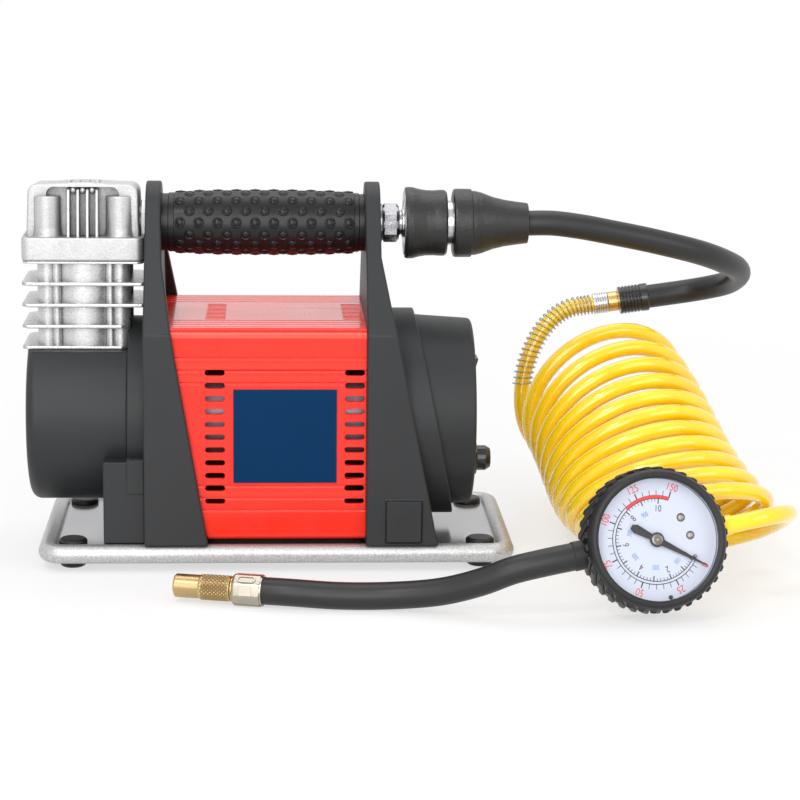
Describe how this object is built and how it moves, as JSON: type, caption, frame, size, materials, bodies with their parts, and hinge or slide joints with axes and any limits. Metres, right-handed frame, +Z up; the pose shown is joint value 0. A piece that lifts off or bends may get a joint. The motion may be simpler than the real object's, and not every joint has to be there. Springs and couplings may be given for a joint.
{
  "type": "portable tire inflator",
  "caption": "Portable tire inflator with a finned piston compressor, red motor cover, carry grip, tray, coiled hose, dial gauge and valve chuck.",
  "frame": {"origin": "on the floor, under the middle of the compressor with its tray and cylinder head, hoses left out", "axes": "+X to the outlet end, +Y to the back, +Z up"},
  "size_m": [0.378, 0.2628, 0.1877],
  "materials": {
    "blasted": "blasted",
    "tray": "satin",
    "charcoal": "satin",
    "red": "satin",
    "rubber": "matte",
    "steel": "satin",
    "bright": "polished",
    "brass": "satin",
    "blue": "gloss",
    "black_gloss": "gloss",
    "copper": "varnished",
    "ferrite": "matte",
    "yellow": "gloss",
    "white": "matte",
    "clear": "clear",
    "red_plastic": "gloss"
  },
  "bodies": {
    "compressor": {"base_plate": "tray", "rubber_feet": "rubber", "plate_screws": "steel", "left_bracket": "charcoal", "right_bracket": "charcoal", "handle_tube": "steel", "handle_grip": "rubber", "motor_cover": "red", "label_plate": "blue", "motor_can": "steel", "motor_magnets": "ferrite", "motor_brushes": "ferrite", "front_bearing": "steel", "rear_bearing": "steel", "motor_shroud": "charcoal", "motor_end_cap": "charcoal", "switch_bezel": "black_gloss", "cable_gland": "black_gloss", "crankcase": "charcoal", "crankcase_flange": "charcoal", "cylinder_barrel": "blasted", "valve_plate": "steel", "cylinder_head": "blasted", "head_screws": "steel", "air_joint": "steel", "outlet_nut": "bright", "coupler_body": "steel", "coupler_plug": "steel", "hose_boot": "rubber", "lead_hose": "rubber", "hose_clamp": "black_gloss", "hose_joiner": "brass", "guard_ferrule": "bright", "spring_guard": "bright", "coil_hose": "yellow", "gauge_boot": "rubber", "gauge_case": "steel", "gauge_movement": "brass", "gauge_dial": "white", "gauge_lens": "clear", "coil_port_stem": "brass", "whip_port_stem": "brass", "whip_hose": "rubber", "chuck_ferrule": "bright", "chuck_body": "brass", "chuck_seal": "rubber"},
    "rotor": {"motor_rotor": "copper", "crankshaft": "steel", "cooling_fan": "charcoal"},
    "rod": {"connecting_rod": "steel"},
    "piston": {"piston": "blasted"},
    "rocker": {"switch_rocker": "red_plastic"},
    "sleeve": {"coupler_sleeve": "steel", "sleeve_cover": "rubber"},
    "needle": {"gauge_needle": "black_gloss"},
    "collar": {"chuck_collar": "brass"}
  },
  "joints": [
    {"name": "crank_spin", "type": "hinge", "parent": "compressor", "child": "rotor", "pos_m": [0, 0, 0.07], "axis": [1, 0, 0], "continuous": true},
    {"name": "rod_turn", "type": "hinge", "parent": "rotor", "child": "rod", "pos_m": [-0.0906, 0, 0.063], "axis": [1, 0, 0], "continuous": true},
    {"name": "piston_slide", "type": "slide", "parent": "compressor", "child": "piston", "axis": [0, 0, 1], "range_m": [0, 0.014]},
    {"name": "switch_rock", "type": "hinge", "parent": "compressor", "child": "rocker", "pos_m": [0.101, 0, 0.089], "axis": [0, -1, 0], "range_deg": [0, 16]},
    {"name": "sleeve_slide", "type": "slide", "parent": "compressor", "child": "sleeve", "axis": [-1, 0, 0], "range_m": [0, 0.005], "stiffness_N_per_m": 800},
    {"name": "needle_turn", "type": "hinge", "parent": "compressor", "child": "needle", "pos_m": [0.1794, -0.143, 0.0395], "axis": [-0.075, 0.9534, -0.2924], "range_deg": [0, 260]},
    {"name": "collar_turn", "type": "hinge", "parent": "compressor", "child": "collar", "pos_m": [-0.0016, -0.1145, 0.0076], "axis": [-0.9703, 0.2419, 0], "continuous": true}
  ],
  "couplings": [
    {"joint": "rod_turn", "follows": "crank_spin", "ratio": -1}
  ]
}
